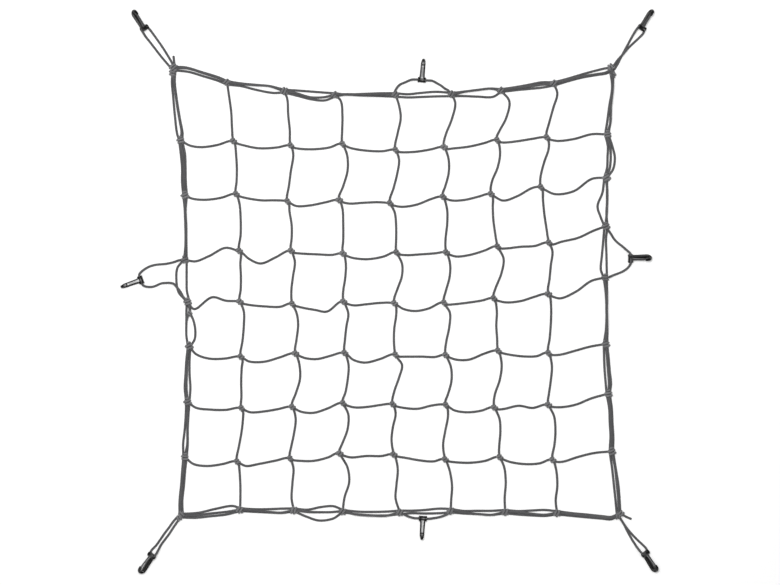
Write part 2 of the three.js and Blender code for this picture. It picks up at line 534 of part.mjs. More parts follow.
// Rim strands end at the corner knots.
SIDES.forEach((side) => {
  const { outer, inner, hook } = rim[side];
  addCord(`rim_${side}_outer`, cleared(tube(outer), cornerRoom));
  addCord(`rim_${side}_inner`, cleared(tube(inner), [...cornerRoom, tunnel(outer)]));
  const edges = [tunnel(outer), tunnel(inner)];
  hook.forEach((line, at) => {
    const tied = side === 'left' && at === 0;
    const whole = tied ? joined([tube(line), lump(TIE.knot, KNOT.tie)]) : tube(line);
    addCord(at === 0 ? `rim_${side}_hook_cord` : `rim_${side}_hook_cord_lower`,
      cleared(whole, [...cornerRoom, ...edges]));
  });
});

// Each corner has its knot, the loop that holds the hook, and the free end where there is one.
const loops = Object.fromEntries(Object.entries(CORNERS).map(([name, { out, back }]) => {
  const [arriving, leaving] = [out, back].map((spots) => spots.map((spot) => place(spot, LOW)));
  return [name, throughEye(hookNamed(name), arriving, leaving)];
}));
Object.entries(CORNERS).forEach(([name, { tail }]) => {
  const pieces = [tube(loops[name]), lump(CORNER_KNOTS[name], KNOT.corner)];
  if (tail) pieces.push(tube(tail.map((spot) => place(spot, LOW))));
  addCord(`corner_${name}_loop`, joined(pieces));
});

// Each hook gives way to the cord through its eye, at the mouth of the bore too.
hooks.forEach(({ name, solid }) => {
  const cord = loops[name] ?? rim[name].hook[0];
  net.add(toMesh(`hook_${name}`, cleared(solid, [tunnel(cord)]), hookMaterial));
});

export default net;
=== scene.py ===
"""An elastic storage net laid out flat: braided cords, wrapped knots and moulded snap hooks."""
import math

import bpy
import numpy as np
from mathutils import Matrix, Vector


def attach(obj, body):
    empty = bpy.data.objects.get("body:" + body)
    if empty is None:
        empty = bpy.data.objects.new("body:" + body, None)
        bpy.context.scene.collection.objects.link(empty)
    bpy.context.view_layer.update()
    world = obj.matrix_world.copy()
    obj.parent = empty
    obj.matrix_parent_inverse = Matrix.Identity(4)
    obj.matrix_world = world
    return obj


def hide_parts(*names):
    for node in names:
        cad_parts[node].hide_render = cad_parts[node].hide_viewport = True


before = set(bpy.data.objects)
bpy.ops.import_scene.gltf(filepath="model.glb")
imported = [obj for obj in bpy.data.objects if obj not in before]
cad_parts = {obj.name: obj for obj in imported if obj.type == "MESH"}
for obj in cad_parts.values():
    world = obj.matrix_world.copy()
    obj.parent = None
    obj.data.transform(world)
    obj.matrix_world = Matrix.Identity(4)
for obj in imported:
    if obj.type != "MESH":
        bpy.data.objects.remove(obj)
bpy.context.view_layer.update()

# Sizes are in millimetres, and MM turns them into the frame's metres.
MM = 0.001
CORD = 4.4                       # cord diameter, with the nap of its sheath
LOW = CORD / 2                   # centre height of a cord on the surface
HIGH = 1.5 * CORD                # centre height of a cord that lies on another
TOP = 2.5 * CORD                 # centre height of a third cord on those two
PAIR = 3.2                       # half the spacing of the outer and inner rim cords in a knot
STEP = 2.5                       # length of cord from one ring of its skin to the next
CORD_SIDES = 14
SPLINE_STEPS = 12                # steps of a route's spline from one chosen place to the next
FEWEST_STEPS = 8                 # steps in the skin of even the shortest cord
HUMP = 8.0                       # half the length of the ramp that a cord takes up to a crossing

# A cord's domed end: how far out each ring is and how wide, as shares of the cord's radius.
DOME = [(0.55, 0.45), (0.38, 0.8)]

# Looking straight down on the net from far off: where the middle of the view is, and its width.
VIEW_CENTRE = (3.7, -2.8)
VIEW_WIDTH = 1443
LENS = 100
SENSOR = 36
FAR_CLIP = 60                    # in metres

FLOOR_DROP = -0.3                # the floor lies just clear of the cords
FLOOR_HALF = 5000
FLOOR_GLOW = 0.2                 # lifts the floor to an even white
SURROUND = 0.05                  # light from all round, beside the soft boxes

# A knot on the diagonal: where a row cord and a column cord pass into it and out, from its middle.
ROW_PASS = ((-4.6, 0.9), (4.6, -3.0))
COLUMN_PASS = ((-1.2, 4.8), (2.8, -5.0))

# Knot places, from the top edge down, each row from left to right.
# The first and last rows and the first and last columns are on the rim.
KNOTS = [
  [[-396, 412], [-298, 386], [-192, 370], [-98, 363], [14, 363], [118, 364], [209, 371], [307, 384],
    [414, 410]],
  [[-384, 279], [-286, 277], [-180, 269], [-84, 272], [14, 261], [104, 266], [202, 279], [294, 284],
    [406, 290]],
  [[-376, 177], [-281, 179], [-186, 166], [-90, 168], [4, 162], [102, 174], [191, 179], [283, 192],
    [404, 210]],
  [[-376, 58], [-275, 74], [-179, 74], [-83, 69], [16, 71], [108, 71], [203, 82], [298, 89], [403, 120]],
  [[-371, -20], [-274, -20], [-177, -24], [-82, -20], [12, -23], [104, -22], [196, -14], [297, -6],
    [402, 25]],
  [[-368, -102], [-272, -122], [-171, -116], [-80, -115], [14, -118], [107, -119], [204, -111], [297, -115],
    [403, -98]],
  [[-371, -205], [-271, -217], [-177, -215], [-83, -208], [9, -210], [107, -211], [197, -216], [297, -211],
    [408, -190]],
  [[-376, -307], [-279, -316], [-181, -310], [-89, -301], [11, -303], [106, -312], [207, -308], [305, -313],
    [414, -297]],
  [[-383, -416], [-274, -405], [-174, -406], [-84, -408], [22, -410], [116, -407], [217, -409], [313, -411],
    [427, -415]],
]
LAST = len(KNOTS) - 1

# Mesh cords between their knots: three places in each span. Rows run left to right, from the top.
ROW_SPANS = [
  [[[-367, 269.5], [-346, 266.5], [-316, 270.5]], [[-270, 270.5], [-240, 264.5], [-205, 266]],
    [[-168, 264], [-140, 262.5], [-108, 266]], [[-68, 264.5], [-40, 260], [-10, 259]],
    [[27, 257], [52, 258], [80, 262.5]], [[120, 264], [150, 267.5], [180, 274.5]],
    [[215, 275], [240, 277.5], [268, 282]], [[314, 278], [344, 281.5], [378, 290.5]]],
  [[[-362, 171], [-338, 169], [-308, 173]], [[-264, 172.5], [-235, 168], [-208, 168]],
    [[-170, 157.5], [-145, 158.5], [-115, 164.5]], [[-72, 162], [-45, 163.5], [-18, 164.5]],
    [[25, 156], [53, 160], [80, 170.5]], [[120, 167.5], [143, 169], [168, 175]],
    [[213, 167.5], [240, 176], [266, 190.5]], [[309, 179.5], [344, 185], [377, 207.5]]],
  [[[-357, 55], [-331, 65], [-301, 80]], [[-258, 60], [-236, 51], [-208, 62.5]],
    [[-162, 69.5], [-132, 68], [-103, 67]], [[-66, 61.5], [-38, 59], [-8, 64]],
    [[34, 66.5], [62, 68], [88, 70]], [[126, 64], [152, 67], [180, 75.5]],
    [[220, 79], [246, 82], [272, 83.5]], [[322, 91.5], [352, 98.5], [380, 111.5]]],
  [[[-359, -33.5], [-326, -11.5], [-300, -18]], [[-258, -25.5], [-228, -28.5], [-199, -29]],
    [[-160, -30.5], [-135, -35], [-113, -38]], [[-64, -26.5], [-40, -24.5], [-15, -22]],
    [[28, -33], [50, -37], [76, -32]], [[122, -24.5], [148, -21.5], [174, -17.5]],
    [[218, -21], [246, -18.5], [270, -11]], [[319, -13.5], [349, -0.5], [376, 18.5]]],
  [[[-356, -116.5], [-332, -125], [-302, -125]], [[-257, -130.5], [-230, -131], [-201, -123]],
    [[-154, -124], [-132, -126], [-107, -120]], [[-65, -127], [-43, -132.5], [-15, -126]],
    [[36, -121.5], [62, -121.5], [88, -122]], [[126, -127], [150, -127], [178, -116]],
    [[223, -117.5], [250, -121], [276, -120.5]], [[318, -118], [345, -111], [374, -103]]],
  [[[-356, -216], [-330, -219.5], [-300, -220]], [[-255, -224.5], [-230, -223], [-203, -218.5]],
    [[-161, -223.5], [-138, -225.5], [-111, -217]], [[-62, -215.5], [-38, -214.5], [-14, -211]],
    [[30, -216.5], [55, -218], [81, -212]], [[123, -221], [146, -224.5], [173, -221.5]],
    [[214, -218.5], [242, -212.5], [268, -216.5]], [[322, -215], [349, -210], [376, -199]]],
  [[[-361, -320], [-335, -324], [-307, -320.5]], [[-263, -324], [-238, -320], [-208, -314]],
    [[-162, -314.5], [-138, -314.5], [-111, -308]], [[-69, -308], [-40, -305.5], [-12, -305.5]],
    [[33, -309], [58, -313.5], [84, -315.5]], [[124, -317], [152, -318], [180, -314.5]],
    [[226, -316.5], [254, -320.5], [281, -319]], [[324, -316], [351, -307.5], [382, -300]]],
]

# Columns run from the top edge down, from the left.
COLUMN_SPANS = [
  [[[-295, 365], [-290.5, 332], [-289, 303]], [[-281.5, 254], [-280, 228], [-280.5, 203]],
    [[-275, 161], [-273, 136], [-273, 104]], [[-273.5, 52], [-272.5, 27], [-273, 2]],
    [[-267, -38], [-267, -63], [-269.5, -92]], [[-271, -143], [-272, -170], [-271.5, -195]],
    [[-268.5, -235], [-271, -259], [-276, -287]], [[-275, -333], [-273.5, -360], [-273.5, -386]]],
  [[[-186.5, 355], [-185, 328], [-182, 298]], [[-175.5, 250], [-180, 222], [-183.5, 195]],
    [[-182.5, 148], [-178.5, 122], [-178.5, 98]], [[-172.5, 53], [-176, 27], [-179, 2]],
    [[-169, -42], [-166.5, -62], [-169.5, -90]], [[-164, -137], [-163, -162], [-171, -190]],
    [[-171, -238], [-174, -263], [-179, -287]], [[-175, -330], [-177, -355], [-178.5, -386]]],
  [[[-87.5, 352], [-84.5, 325], [-85, 296]], [[-75.5, 250], [-75, 223], [-83.5, 193]],
    [[-84, 150], [-83, 122], [-83, 95]], [[-78, 47], [-79.5, 23], [-83, 0]],
    [[-73.5, -42], [-77, -65], [-80, -92]], [[-73, -138], [-74.5, -162], [-79, -188]],
    [[-73.5, -229], [-75, -256], [-85, -283]], [[-75, -327], [-72, -354], [-80.5, -382]]],
  [[[20, 345], [23.5, 321], [18, 293]], [[20.5, 242], [16.5, 215], [10, 190]],
    [[12.5, 145], [15, 120], [15, 95]], [[26, 50], [25.5, 27], [17.5, 4]],
    [[15, -45], [11.5, -70], [11, -95]], [[26, -137], [20.5, -160], [11.5, -186]],
    [[14, -229], [9, -252], [6.5, -276]], [[18, -330], [15.5, -360], [14, -384]]],
  [[[124.5, 348], [118, 318], [107, 290]], [[112, 245], [112.5, 220], [106, 194]],
    [[109.5, 150], [109.5, 124], [106.5, 96]], [[115, 49], [114, 26], [107, 0]],
    [[114.5, -40], [113.5, -66], [108, -93]], [[116.5, -141], [117.5, -166], [111, -191]],
    [[111, -232], [106, -259], [102, -285]], [[114.5, -334], [118.5, -361], [117, -386]]],
  [[[224.5, 352], [219, 321], [206, 296]], [[207.5, 254], [203, 229], [192.5, 203]],
    [[194, 156], [195, 132], [198.5, 106]], [[214, 60], [210, 33], [199, 5]],
    [[201.5, -38], [200.5, -64], [202, -88]], [[210.5, -138], [206.5, -166], [198, -191]],
    [[206.5, -237], [208, -261], [206, -286]], [[215.5, -328], [218, -355], [216, -384]]],
  [[[313.5, 366], [306, 339], [298, 310]], [[297.5, 264], [289, 238], [282.5, 212]],
    [[287, 168], [289.5, 142], [294, 112]], [[304.5, 72], [301.5, 48], [299, 22]],
    [[302, -30], [301.5, -60], [299, -90]], [[303.5, -140], [301.5, -165], [298, -190]],
    [[307.5, -232], [310, -259], [308, -286]], [[312, -335], [313.5, -361], [310.5, -388]]],
]

# Rim: an outer, an inner and a hook strand on each side. The top and bottom run left to right,
# and the left and right run from the top down. A third number is a height of its own.
RIM = {
  "top": {
    "outward": [0, 1],
    "outer": [[[-374, 414], [-345, 405.5], [-313, 395.5]], [[-272, 384.5], [-246, 382], [-219, 379.5]],
      [[-170, 371.5], [-144, 369.5], [-118, 367.5]], [[-80, 364], [-52, 364.8], [-14, 366.2]],
      [[36, 364.5], [62, 367], [90, 369]], [[142, 369.5], [166, 372.5], [190, 375]],
      [[232, 377], [258, 381.5], [284, 386.5]], [[335, 394], [360, 401.5], [388, 409], [402, 412.3]]],
    "inner": [[[-368, 405.5], [-343, 398], [-318, 390.5]], [[-272, 379.5], [-244, 372.5], [-214, 367]],
      [[-168, 361.5], [-142, 355], [-117, 353]], [[-80, 363.2, HIGH], [-52, 362, HIGH], [-14, 361]],
      [[38, 358.5], [64, 359.5], [92, 360.5]], [[138, 361], [166, 360], [194, 359.5]],
      [[233, 371.5], [258, 374], [284, 376.5]], [[335, 389], [361, 395.7], [388, 400.3], [403, 402.6]]],
    "hook": [[[-372, 412], [-340, 402.5], [-313, 393.5]], [[-272, 383], [-246, 381], [-219, 379]],
      [[-173, 367], [-143, 358.5], [-118, 359]], [[-80, 363.6, TOP], [-52, 363.4, TOP], [-14, 363.8]],
      None,
      [[140, 368.5], [166, 372], [190, 374.5]], [[233, 375], [258, 378], [284, 382]],
      [[335, 391.5], [360, 397], [388, 401.5], [402, 404]]],
    "loop": {
      "out": [[12, 367], [14, 372, 5.6], [17, 377, 3.4], [22, 382, LOW], [33, 387, LOW], [43, 391, 3.2]],
      "back": [[82, 389, 3.2], [90, 385, LOW], [98, 380.5, LOW], [105, 374.8, 3], [111, 371.4, 5.4]],
    },
  },
  "bottom": {
    "outward": [0, -1],
    "outer": [[[-357, -420], [-328, -417], [-300, -414]], [[-249, -408.8], [-223, -410], [-197, -411]],
      [[-152, -417.5], [-128, -425], [-102, -421.5]], [[-58, -413.5], [-30, -415.5], [-2, -415.5]],
      [[43, -411.5], [68, -412], [94, -411.5]], [[140, -412], [166, -413], [192, -414.5]],
      [[241, -414], [265, -415.5], [290, -416.5]],
      [[341, -416.5], [370, -419.2], [396, -421.4], [414, -422.6]]],
    "inner": [[[-350, -410.5], [-320, -403.5], [-288, -398]], [[-249, -404], [-223, -404], [-197, -403]],
      [[-150, -405], [-124, -400], [-101, -398.5]], [[-56, -408.5], [-30, -409], [-4, -408.5]],
      [[44, -406.8], [68, -405.5], [94, -403]], [[140, -407.2], [166, -407], [192, -407]],
      [[241, -407.5], [265, -406.5], [290, -405.5]],
      [[341, -411.4], [370, -414.1], [396, -416.8], [413, -418]]],
    "hook": [[[-353, -415], [-328, -412], [-300, -409]], [[-249, -406.5], [-223, -408.5], [-197, -410]],
      [[-150, -408.5, 5.8], [-128, -409.5, LOW], [-106, -409.5, LOW]],
      [[-58, -413.5], [-30, -415.5], [-2, -415.5]],
      None,
      [[140, -410], [166, -412.5], [192, -414]], [[241, -409], [265, -412], [290, -414]],
      [[341, -414], [370, -416.6], [396, -419], [413, -420.2]]],
    "loop": {
      "out": [[28, -412.5], [35.5, -416.3, 5.6], [43, -419, 3.2], [50, -420.5, 3.4]],
      "back": [[80, -421, 3.4], [91, -419.5, LOW], [98.5, -417.5, 3], [106, -414.5, 5.6], [111, -412]],
    },
  },
  "left": {
    "outward": [-1, 0],
    "outer": [[[-400.2, 392], [-398, 360], [-394.8, 325], [-391, 293]],
      [[-384, 255], [-381.5, 228], [-381.5, 203]],
      [[-376.4, 150], [-375.4, 120], [-375, 88]], [[-390, 43], [-392, 22], [-388, -2]],
      [[-373.5, -40], [-373.5, -60], [-373.5, -82]], [[-373.5, -128], [-375, -153], [-376.5, -180]],
      [[-374.6, -228], [-376.5, -256], [-379.5, -283]], [[-381, -330], [-383, -357], [-386, -388]]],
    "inner": [[[-395, 390], [-391.5, 357], [-386, 322], [-380.5, 292]],
      [[-376, 254], [-375, 230], [-374.5, 202]],
      [[-374.6, 150, HIGH], [-373.4, 120, HIGH], [-373.2, 88, HIGH]], [[-373, 38], [-373, 18], [-372.5, 0]],
      [[-365.6, -42], [-360.5, -54], [-357, -72], [-358, -89]],
      [[-367.5, -128], [-367.5, -153], [-366, -180]],
      [[-369.6, -230], [-371, -256], [-371, -283]], [[-375.5, -330], [-378, -360], [-381, -390]]],
    "hook": [[[-395.8, 388], [-391.5, 352], [-386, 318], [-382, 293]],
      [[-380, 255], [-377.5, 228], [-377.5, 202]],
      [[-375.5, 150, TOP], [-374.4, 120, TOP], [-374.2, 88, TOP]],
      None,
      None,
      [[-371.5, -125], [-372.5, -155], [-373, -180]], [[-370.6, -229], [-371.2, -256], [-371.4, -283]],
      [[-378, -330], [-380.5, -358], [-383.5, -389]]],
    "loop": {
      "out": [[-382, 57.5], [-388, 56.5, 4.6], [-395, 54, LOW], [-410, 50.5, LOW], [-430, 48.5, LOW],
        [-440, 46, LOW], [-448, 42, 2.6], [-455, 37, 3.6]],
      "back": [[-449, 8.4, 3.6], [-440, 7.5, LOW], [-433, 8.5, LOW], [-420, 14, LOW], [-411, 15, LOW],
        [-403, 15, 3.4], [-397, 13.5, 6], [-392, 8.5], [-385, 0], [-378, -12]],
    },
  },
  "right": {
    "outward": [1, 0],
    "outer": [[[416.2, 378], [412.6, 343], [411.6, 312]], [[415.5, 268], [420, 247], [417, 226]],
      [[405.5, 187], [405.5, 165], [404.5, 142]], [[403.7, 97], [404.5, 68], [405, 42]],
      [[405.5, 0], [404.4, -36], [406.2, -70]], [[408.5, -123], [410.5, -147], [413, -172]],
      [[414.4, -217], [415.6, -243], [417.2, -270]], [[421.5, -327], [426.3, -357], [428.8, -386]]],
    "inner": [[[414.6, 378, HIGH], [409.4, 342, 5.5], [405.6, 312]],
      [[407, 268], [406.5, 249], [405.5, 228]],
      [[397, 182], [388, 157], [394.5, 135]], [[398.8, 97], [396, 65], [394, 40]],
      [[402.6, -3, HIGH], [404.2, -36, HIGH], [403.2, -70, HIGH]], [[400, -120], [401, -145], [403, -170]],
      [[409.5, -217], [410.6, -243], [412, -270]], [[415, -329], [418, -357], [421, -385]]],
    "hook": [[[415.4, 378, TOP], [412, 343, 9.7], [411.4, 312]], [[411, 268], [412.5, 249], [410.5, 228]],
      [[405.5, 187], [405.5, 165], [404.5, 142]],
      None,
      [[404.2, -2, TOP], [404.3, -36, TOP], [404.8, -70, TOP]], [[405, -120], [407, -146], [409, -172]],
      [[412, -217], [413, -243], [414.6, -270]], [[420, -327], [423, -355], [426, -385]]],
    "loop": {
      "out": [[406, 115], [409.6, 109.5, 5.6], [413.5, 104, 3], [418, 97, LOW], [424, 90.5, LOW],
        [433, 83, 3.8], [441, 75.5, 8.6]],
      "back": [[444, 43, 3.4], [436, 37, LOW], [430, 34, LOW], [422, 31, LOW], [414, 28, 3.2],
        [408, 25.4, 6]],
    },
  },
}

# Where the hook strand of the left side is tied off: the tie knot and the free end after it.
TIE = { "knot": [-367, -41], "lead": [-368, -30], "tail": [[-371, -48], [-372.5, -54], [-373.5, -60]] }

# Corner loops, out to the hook and back, and the free cord ends that two corner knots have.
CORNERS = {
  "top_left": {
    "out": [[-402.5, 413.5], [-410.5, 422.8], [-420.8, 435], [-430.8, 448], [-440.5, 460.5],
      [-448, 470, 5.4]],
    "back": [[-431, 470.5], [-420, 455], [-410, 439.5], [-402, 426], [-398, 418]],
    "tail": [[-395.5, 416], [-396.2, 425], [-397.2, 434.5]],
  },
  "top_right": {
    "out": [[419, 410], [425, 420], [430, 430], [435, 439.5], [440, 449], [445, 458], [450, 467.5, 2.8],
      [455, 476.5, 6]],
    "back": [[466, 470, 3], [456, 460.5], [447, 452], [440, 444.5, 4.8],
      [434.5, 438, HIGH], [429, 432, 4.8], [424, 426], [417, 416]],
  },
  "bottom_left": {
    "out": [[-389, -417], [-397, -426], [-406, -438.5], [-414, -449], [-421.5, -460], [-429, -470.5]],
    "back": [[-424.6, -478.5, 8.4], [-420.5, -470.5, 3.6], [-414, -461.5], [-406, -451],
      [-398.5, -439.5], [-392, -430], [-386, -421]],
  },
  "bottom_right": {
    "out": [[429, -420], [434, -427.5], [438.5, -435], [441.5, -441.5], [446, -450], [451, -459],
      [456, -467, 3.4], [461.5, -475.5, 8]],
    "back": [[471, -469.5, 2.6], [463.5, -462.5], [457, -456], [450, -448.5], [444, -441.5, 4.8],
      [439, -435, HIGH], [434, -427.5, HIGH], [430, -421, HIGH]],
    "tail": [[432, -412.5], [437, -416], [443, -419], [450, -422]],
  },
}

# Hooks: eye centre, the way the bow points, the roll of its plane from upright, and the side
# that the mouth leans to: 1 is left of the way that the bow points, -1 is right.
HOOKS = [
  { "name": "top_left", "x": -450.5, "y": 486, "heading": 124.7, "roll": 28, "lean": -1 },
  { "name": "top", "x": 62.5, "y": 390.5, "heading": 85, "roll": 0, "lean": 1 },
  { "name": "top_right", "x": 469.5, "y": 486.5, "heading": 60, "roll": 15, "lean": -1 },
  { "name": "left", "x": -457.5, "y": 20.5, "heading": 199.6, "roll": 0, "lean": 1 },
  { "name": "right", "x": 448.5, "y": 60, "heading": 3.6, "roll": 28, "lean": -1 },
  { "name": "bottom_left", "x": -437, "y": -489, "heading": 238, "roll": 42, "lean": -1 },
  { "name": "bottom", "x": 64.5, "y": -421, "heading": 267, "roll": 0, "lean": 1 },
  { "name": "bottom_right", "x": 476, "y": -485.5, "heading": 300, "roll": 36, "lean": 1 },
]


def mm(values):
    return [value * MM for value in values]


def new_object(name, data):
    made = bpy.data.objects.new(name, data)
    bpy.context.collection.objects.link(made)
    return made


def plain_object(name, vertices, faces):
    mesh = bpy.data.meshes.new(name)
    mesh.from_pydata([mm(vertex) for vertex in vertices], [], faces)
    return new_object(name, mesh)


def mesh_made_by(thing, name):
    """The mesh that an object's modifiers make of it."""
    shown = thing.evaluated_get(bpy.context.evaluated_depsgraph_get())
    mesh = bpy.data.meshes.new_from_object(shown)
    mesh.name = name
    return mesh


# ---------------------------------------------------------------- camera

def make_camera():
    data = bpy.data.cameras.new("view_from_above")
    data.lens = LENS
    data.sensor_width = SENSOR
    data.clip_end = FAR_CLIP
    height = VIEW_WIDTH * LENS / SENSOR
    camera = new_object("view_from_above", data)
    camera.location = mm((*VIEW_CENTRE, height + HIGH))
    bpy.context.scene.camera = camera


make_camera()


# ---------------------------------------------------------------- cord routes

def spot(place, height):
    """A listed place with its own height, or the one given."""
    return (place[0], place[1], place[2] if len(place) > 2 else height)


def smooth_line(points):
    """A centripetal spline through the points, resampled every STEP.
    Each pass of the sums blends two neighbours of the pass before it."""
    points = np.array(points, dtype=float)
    first = 2 * points[0] - points[1]
    last = 2 * points[-1] - points[-2]
    padded = np.vstack([first, points, last])
    line = [points[0]]
    for a, b, c, d in zip(padded, padded[1:], padded[2:], padded[3:]):
        t1 = np.linalg.norm(b - a) ** 0.5
        t2 = t1 + np.linalg.norm(c - b) ** 0.5
        t3 = t2 + np.linalg.norm(d - c) ** 0.5
        for t in np.linspace(t1, t2, SPLINE_STEPS + 1)[1:]:
            ab = (t1 - t) / t1 * a + t / t1 * b
            bc = (t2 - t) / (t2 - t1) * b + (t - t1) / (t2 - t1) * c
            cd = (t3 - t) / (t3 - t2) * c + (t - t2) / (t3 - t2) * d
            abc = (t2 - t) / t2 * ab + t / t2 * bc
            bcd = (t3 - t) / (t3 - t1) * bc + (t - t1) / (t3 - t1) * cd
            line.append((t2 - t) / (t2 - t1) * abc + (t - t1) / (t2 - t1) * bcd)
    line = np.array(line)
    along = np.concatenate([[0], np.cumsum(np.linalg.norm(np.diff(line, axis=0), axis=1))])
    places = np.linspace(0, along[-1], max(int(along[-1] / STEP), FEWEST_STEPS) + 1)
    even = np.column_stack([np.interp(places, along, line[:, axis]) for axis in range(3)])
    even[:, 2] = np.maximum(even[:, 2], LOW)
    return even


def laid_over(line, others):
    """Lifts a line over the cords under it, in a long low hump."""
    need = line[:, 2].copy()
    for other in others:
        apart = np.linalg.norm(line[:, None, :2] - other[None, :, :2], axis=2)
        near = apart.argmin(axis=1)
        gap = np.minimum(apart.min(axis=1), CORD)
        lifted = other[near, 2] + np.sqrt(CORD ** 2 - gap ** 2)
        need = np.where(gap < CORD, np.maximum(need, lifted), need)
    half = max(int(HUMP / STEP), 1)
    padded = np.pad(need, 2 * half, mode="edge")
    widened = np.array([padded[i:i + 2 * half + 1].max() for i in range(len(need) + 2 * half)])
    kernel = np.hanning(2 * half + 3)[1:-1]
    raised = line.copy()
    raised[:, 2] = np.convolve(widened, kernel / kernel.sum(), mode="valid")
    return raised


def strand(knots, spans, height):
    """The places of a rim cord, through its knots and the spans between them."""
    points = []
    for index, knot in enumerate(knots):
        points.append(spot(knot, height))
        if index < len(spans):
            points += [spot(place, height) for place in spans[index]]
    return points


def mesh_strand(knots, spans, passing):
    """A mesh cord goes into each knot on one side and out on the other, and ends in the rim."""
    points = [spot(knots[0], LOW)]
    for knot, span in zip(knots[1:], spans):
        points += [spot(place, LOW) for place in span]
        if knot is not knots[-1]:
            points += [(knot[0] + dx, knot[1] + dy, LOW) for dx, dy in passing]
    return points + [spot(knots[-1], LOW)]


def rim_knots(side):
    """The knots along one side, corners included, in the order that its strands run."""
    if side == "top":
        return KNOTS[0]
    if side == "bottom":
        return KNOTS[LAST]
    return [row[0 if side == "left" else LAST] for row in KNOTS]


def edge_points(side, which):
    """The outer and inner strands pass each knot side by side."""
    shift = PAIR if which == "outer" else -PAIR
    out_x, out_y = RIM[side]["outward"]
    knots = [(x + shift * out_x, y + shift * out_y) for x, y in rim_knots(side)]
    return strand(knots, RIM[side][which], LOW)


# ---------------------------------------------------------------- hooks as they lie

EYE_HALF = 7.5                   # half the length of a hook's eye
EYE_RADIUS = 5.2
HOOK_BACK = 5.5                  # from the eye's axis to the back of the hook
HOOK_HALF = 4.0                  # half the thickness of the hook at its bow

# The cord's way through an eye, along the hook and along the eye: straight for a loop beside the
# rim, and doubled back on a round of its own at a corner.
EYE_PASS = [(0, along) for along in (10, 8.2, 0, -8.2, -10)]
ROUND_RADIUS = 7.5
ROUND_LEAD = 1.0


def eye_round():
    """The way through a corner hook's eye: a half round, led straight out of the bore."""
    turns = [math.radians(turn) for turn in range(90, -91, -30)]
    return [(ROUND_LEAD - ROUND_RADIUS * (1 - math.cos(turn)), ROUND_RADIUS * math.sin(turn))
            for turn in turns]


class LaidHook:
    """Where a hook lies: its eye, its own three directions and the cord's way through the eye."""

    def __init__(self, name, x, y, heading, roll, lean):
        turn, tilt = math.radians(heading), math.radians(roll)
        self.name = name
        self.along = Vector((math.cos(turn), math.sin(turn), 0))
        side = Vector((-math.sin(turn), math.cos(turn), 0))
        self.mouth = side * lean * math.sin(tilt) + Vector((0, 0, math.cos(tilt)))
        self.axis = self.along.cross(self.mouth)
        on_eye = EYE_RADIUS * math.cos(tilt) + EYE_HALF * math.sin(tilt)
        on_back = HOOK_BACK * math.cos(tilt) + HOOK_HALF * math.sin(tilt)
        self.eye = Vector((x, y, max(on_eye, on_back)))

    def eye_line(self):
        way = eye_round() if self.name in CORNERS else EYE_PASS
        return [tuple(self.eye + self.along * u + self.axis * w) for u, w in way]

    def matrix(self):
        turned = Matrix((self.along, self.mouth, self.axis)).transposed().to_4x4()
        return Matrix.Translation(self.eye) @ turned


LAID = {row["name"]: LaidHook(**row) for row in HOOKS}


def through_eye(name, out, back):
    """The cord goes in at the end of the eye that it comes to first, and out at the other."""
    line = LAID[name].eye_line()
    arrival = Vector(out[-1])
    if (Vector(line[0]) - arrival).length > (Vector(line[-1]) - arrival).length:
        line.reverse()
    return out + line + back


def hook_strands(side):
    """The hook strand of a side, with its loop. The left one is tied off and starts again."""
    knots = rim_knots(side)
    spans = RIM[side]["hook"]
    at = spans.index(None)
    before = strand(knots[:at + 1], spans[:at], HIGH)
    out = [spot(place, HIGH) for place in RIM[side]["loop"]["out"]]
    back = [spot(place, HIGH) for place in RIM[side]["loop"]["back"]]
    upper = before[:-1] + through_eye(side, [before[-1]] + out, back)
    if side != "left":
        return [upper + strand(knots[at + 1:], spans[at + 1:], HIGH)]
    tail = [spot(place, HIGH) for place in (knots[at + 1], TIE["lead"], TIE["knot"], *TIE["tail"])]
    return [upper + tail, strand(knots[at + 2:], spans[at + 2:], HIGH)]


def plan_cords():
    """Every cord's line, under the name of the solid that it stands for."""
    lines = {}
    for index, spans in enumerate(ROW_SPANS):
        lines[f"row_cord_{index + 1}"] = smooth_line(mesh_strand(KNOTS[index + 1], spans, ROW_PASS))
    rows = list(lines.values())
    for index, spans in enumerate(COLUMN_SPANS):
        knots = [row[index + 1] for row in KNOTS]
        line = smooth_line(mesh_strand(knots, spans, COLUMN_PASS))
        lines[f"column_cord_{index + 1}"] = laid_over(line, rows)
    corner_tail = [spot(place, LOW) for place in CORNERS["top_left"]["tail"]]
    foot_tail = [spot(place, LOW) for place in CORNERS["bottom_right"]["tail"]]
    for side in RIM:
        edges = []
        for which in ("outer", "inner"):
            points = edge_points(side, which)
            if (side, which) == ("left", "outer"):
                points = corner_tail[::-1] + points[1:]
            if (side, which) == ("bottom", "outer"):
                points = points[:-1] + foot_tail
            edges.append(laid_over(smooth_line(points), edges))
            lines[f"rim_{side}_{which}"] = edges[-1]
        for points, ending in zip(hook_strands(side), ("hook_cord", "hook_cord_lower")):
            settled = [(x, y, LOW if z == HIGH else z) for x, y, z in points]
            lines[f"rim_{side}_{ending}"] = laid_over(smooth_line(settled), edges)
    for name, route in CORNERS.items():
        out = [spot(place, LOW) for place in route["out"]]
        back = [spot(place, LOW) for place in route["back"]]
        lines[f"corner_{name}_loop"] = smooth_line(through_eye(name, out, back))
    return lines


# ---------------------------------------------------------------- finishes

def new_material(name):
    material = bpy.data.materials.new(name)
    material.use_nodes = True
    tree = material.node_tree
    return material, tree, tree.nodes["Principled BSDF"]


def fill(tree, target, inputs):
    """Links or sets a node's inputs, given by name or in their order. None leaves one as it is."""
    rows = inputs.items() if isinstance(inputs, dict) else enumerate(inputs)
    for key, value in rows:
        if hasattr(value, "is_output"):
            tree.links.new(value, target.inputs[key])
        elif value is not None:
            target.inputs[key].default_value = value


